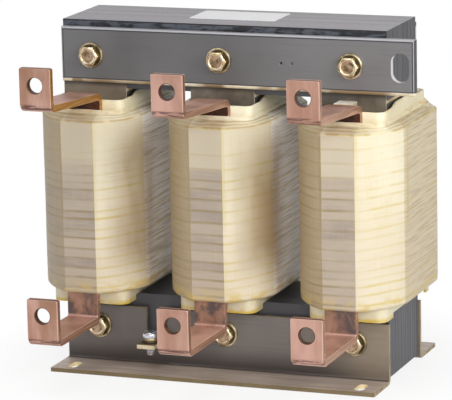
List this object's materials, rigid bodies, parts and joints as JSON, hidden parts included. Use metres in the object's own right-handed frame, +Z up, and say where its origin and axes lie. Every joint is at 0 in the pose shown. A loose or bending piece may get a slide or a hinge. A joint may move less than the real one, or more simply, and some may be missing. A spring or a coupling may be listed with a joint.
{
  "type": "load-side reactor",
  "caption": "Upright iron-core choke with a row of taped coils between clamped yokes, bent copper terminal flags in front and folded steel feet below.",
  "frame": {"origin": "on the floor, in the middle of the four foot slots", "axes": "+X along the row of coils towards the slotted clamp end, -Y towards the terminals, +Z up"},
  "size_m": [0.277, 0.209, 0.2484],
  "materials": {
    "core_steel": "stacked laminations under dull grey resin",
    "gap_board": "glass-fibre board",
    "tie_steel": "flat steel with a thin varnish",
    "clamp_steel": "grey steel with a yellowish zinc tone at its edges",
    "zinc_steel": "yellow zinc plate, satin",
    "copper": "bare copper bar, satin",
    "resin_tape": "ivory glass tape in clear varnish",
    "coil_board": "varnished insulating board",
    "stick_board": "glass-fibre board sticks",
    "insulator_tube": "wound paper tube",
    "label_film": "plain white film"
  },
  "bodies": {
    "root": {"lower_yoke": "core_steel", "upper_yoke": "core_steel", "lower_gap_plates": "gap_board", "upper_gap_plates": "gap_board", "front_tie_plates": "tie_steel", "rear_tie_plates": "tie_steel", "front_upper_clamp": "clamp_steel", "rear_upper_clamp": "clamp_steel", "front_lower_clamp": "clamp_steel", "rear_lower_clamp": "clamp_steel", "upper_bolts": "zinc_steel", "lower_bolts": "zinc_steel", "upper_nuts": "zinc_steel", "lower_nuts": "zinc_steel", "front_washers": "zinc_steel", "rear_washers": "zinc_steel", "upper_bolt_insulators": "insulator_tube", "lower_bolt_insulators": "insulator_tube", "earth_lock_washer": "zinc_steel", "earth_flat_washer": "zinc_steel", "earth_screw": "zinc_steel", "blank_label": "label_film", "left_leg": "core_steel", "left_former": "coil_board", "left_liner": "coil_board", "left_winding": "copper", "left_outer_wrap": "resin_tape", "left_duct_sticks": "stick_board", "left_start_terminal": "copper", "left_finish_terminal": "copper", "middle_leg": "core_steel", "middle_former": "coil_board", "middle_liner": "coil_board", "middle_winding": "copper", "middle_outer_wrap": "resin_tape", "middle_duct_sticks": "stick_board", "middle_start_terminal": "copper", "middle_finish_terminal": "copper", "right_leg": "core_steel", "right_former": "coil_board", "right_liner": "coil_board", "right_winding": "copper", "right_outer_wrap": "resin_tape", "right_duct_sticks": "stick_board", "right_start_terminal": "copper", "right_finish_terminal": "copper"}
  },
  "joints": []
}
